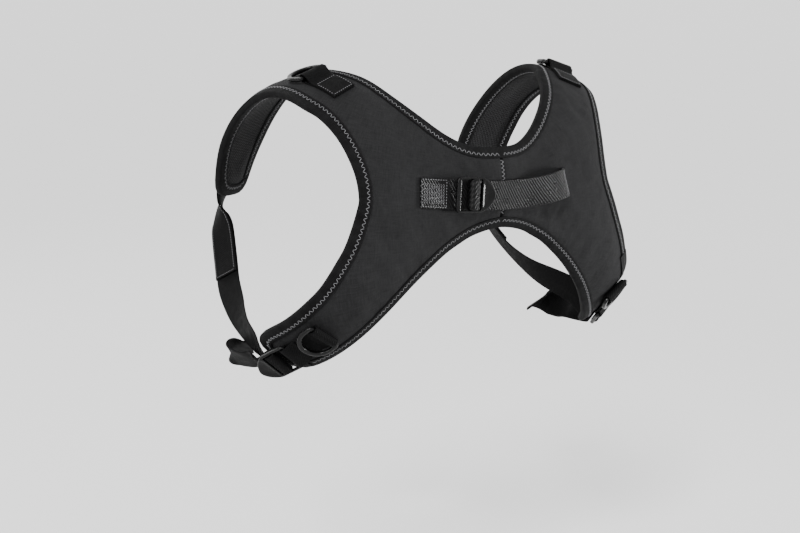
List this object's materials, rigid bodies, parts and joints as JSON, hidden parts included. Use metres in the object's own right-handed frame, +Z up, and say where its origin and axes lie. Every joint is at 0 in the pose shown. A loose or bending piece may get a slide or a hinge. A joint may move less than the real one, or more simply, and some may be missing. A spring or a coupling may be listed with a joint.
{
  "type": "safety harness vest",
  "caption": "Padded black shoulder harness: a cross-shaped back yoke with bound edges, D-rings and ladder-lock buckles on webbing.",
  "frame": {"origin": "on the yoke's centre seam, on the outline surface between the shoulder blades; the wearer's back holds the harness up there", "axes": "the wearer faces -Y, +X is the wearer's left and +Z is up"},
  "size_m": [0.392, 0.253, 0.2597],
  "materials": {
    "face_fabric": "matte woven nylon",
    "foam": "closed-cell foam sheet, hidden inside the pad",
    "mesh_lining": "matte spacer mesh",
    "binding": "folded grosgrain tape with grey zigzag stitching",
    "webbing": "ribbed nylon webbing with a soft sheen",
    "hardware": "satin moulded acetal",
    "label": "blank woven label"
  },
  "bodies": {
    "harness": {"left_face_fabric": "face_fabric", "left_foam_core": "foam", "left_mesh_lining": "mesh_lining", "left_armhole_binding": "binding", "left_shoulder_tab": "webbing", "left_wing_webbing": "webbing", "left_side_strap": "webbing", "left_strap_tail": "webbing", "left_strap_doubler": "webbing", "right_face_fabric": "face_fabric", "right_foam_core": "foam", "right_mesh_lining": "mesh_lining", "right_armhole_binding": "binding", "right_shoulder_tab": "webbing", "right_wing_webbing": "webbing", "right_side_strap": "webbing", "right_strap_tail": "webbing", "right_strap_doubler": "webbing", "neck_binding": "binding", "hem_binding": "binding", "centre_seam_tape": "binding", "back_strap": "webbing", "edge_label": "label"},
    "left_shoulder_ring": {"left_shoulder_ring": "hardware"},
    "left_wing_ring": {"left_wing_ring": "hardware"},
    "left_wing_lock": {"left_wing_lock": "hardware", "left_wing_lock_strap": "webbing"},
    "right_shoulder_ring": {"right_shoulder_ring": "hardware"},
    "right_wing_ring": {"right_wing_ring": "hardware"},
    "right_wing_lock": {"right_wing_lock": "hardware", "right_wing_lock_strap": "webbing"},
    "back_lock": {"back_lock": "hardware", "back_lock_strap": "webbing"}
  },
  "joints": [
    {"name": "left_shoulder_ring_hinge", "type": "hinge", "parent": "harness", "child": "left_shoulder_ring", "pos_m": [0.13434, -0.08138, 0.10282], "axis": [-0.9309, -0.1829, 0.3161], "range_deg": [0, 150]},
    {"name": "left_wing_ring_hinge", "type": "hinge", "parent": "harness", "child": "left_wing_ring", "pos_m": [0.16161, -0.02445, -0.10571], "axis": [0.8301, -0.0067, 0.5575], "range_deg": [0, 150]},
    {"name": "left_wing_lock_hinge", "type": "hinge", "parent": "harness", "child": "left_wing_lock", "pos_m": [0.17517, -0.05255, -0.12619], "axis": [0.7552, -0.0203, 0.6552], "range_deg": [0, 40]},
    {"name": "right_shoulder_ring_hinge", "type": "hinge", "parent": "harness", "child": "right_shoulder_ring", "pos_m": [-0.13434, -0.08138, 0.10282], "axis": [-0.9309, 0.1829, -0.3161], "range_deg": [0, 150]},
    {"name": "right_wing_ring_hinge", "type": "hinge", "parent": "harness", "child": "right_wing_ring", "pos_m": [-0.16161, -0.02445, -0.10571], "axis": [0.8301, 0.0067, -0.5575], "range_deg": [0, 150]},
    {"name": "right_wing_lock_hinge", "type": "hinge", "parent": "harness", "child": "right_wing_lock", "pos_m": [-0.17517, -0.05255, -0.12619], "axis": [0.7552, 0.0203, -0.6552], "range_deg": [0, 40]},
    {"name": "back_lock_slide", "type": "slide", "parent": "harness", "child": "back_lock", "axis": [-0.9916, 0.1159, -0.0573], "range_m": [-0.006, 0.01]}
  ]
}
